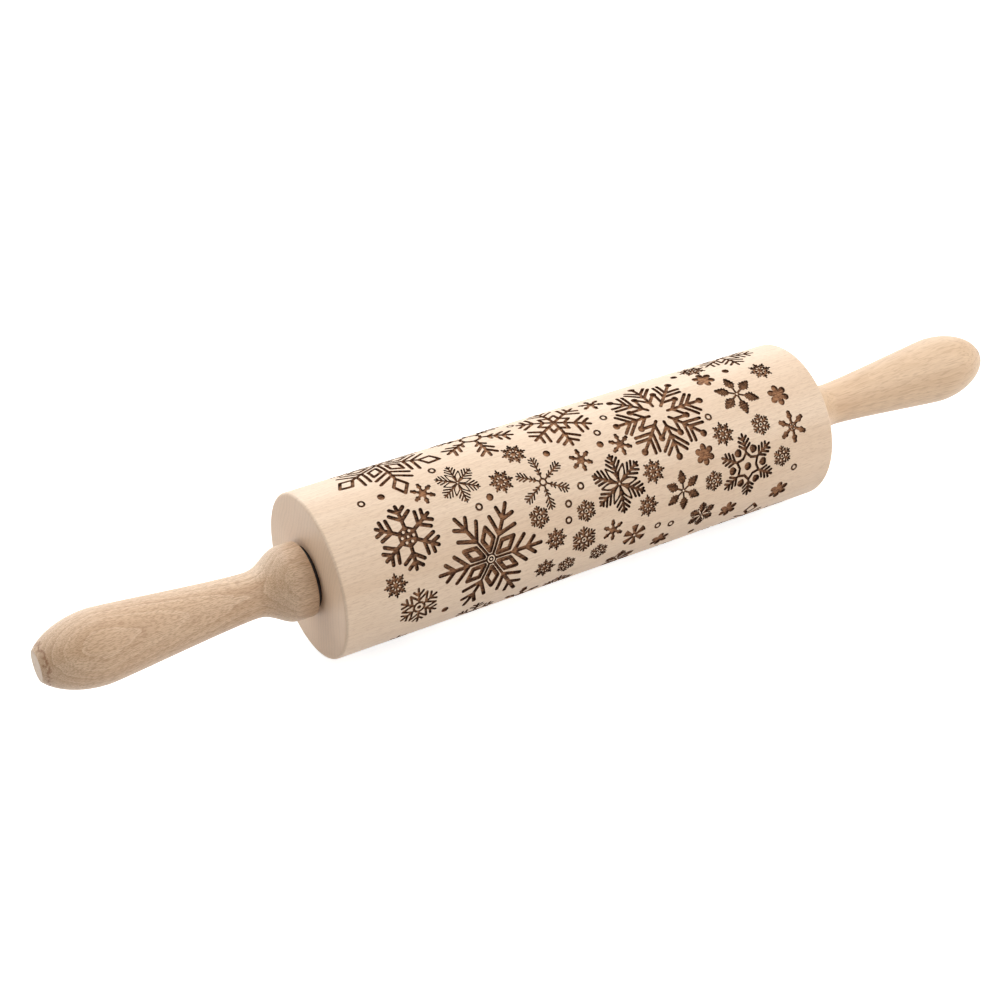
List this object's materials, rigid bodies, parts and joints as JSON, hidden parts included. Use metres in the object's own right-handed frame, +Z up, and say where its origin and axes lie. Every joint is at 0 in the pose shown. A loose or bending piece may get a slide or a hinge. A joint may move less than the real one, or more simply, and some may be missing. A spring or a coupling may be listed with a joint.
{
  "type": "embossed rolling pin",
  "caption": "Beech rolling pin for embossing dough, its barrel engraved all round with burnt snowflakes, turning on a rod between two turned handles.",
  "frame": {"origin": "on the surface that the pin rests on, under the middle of the barrel", "axes": "+X along the pin towards the right handle, +Y to the back, +Z up; the barrel's axis is 32.5 mm above the origin"},
  "size_m": [0.4304, 0.065, 0.065],
  "materials": {
    "barrel_wood": "sanded pale beech, bare, with the engraving burnt dark brown",
    "handle_wood": "turned beech, a little darker and warmer than the barrel, sanded smooth",
    "rod_steel": "bright drawn bar",
    "bush_plastic": "dark moulded nylon"
  },
  "bodies": {
    "barrel": {"barrel": "barrel_wood", "left_bush": "bush_plastic", "right_bush": "bush_plastic"},
    "handles": {"axle_rod": "rod_steel", "left_washer": "bush_plastic", "right_washer": "bush_plastic", "left_handle": "handle_wood", "right_handle": "handle_wood"}
  },
  "joints": [
    {"name": "handles_turn", "type": "hinge", "parent": "barrel", "child": "handles", "pos_m": [0, 0, 0.0325], "axis": [1, 0, 0], "continuous": true}
  ]
}
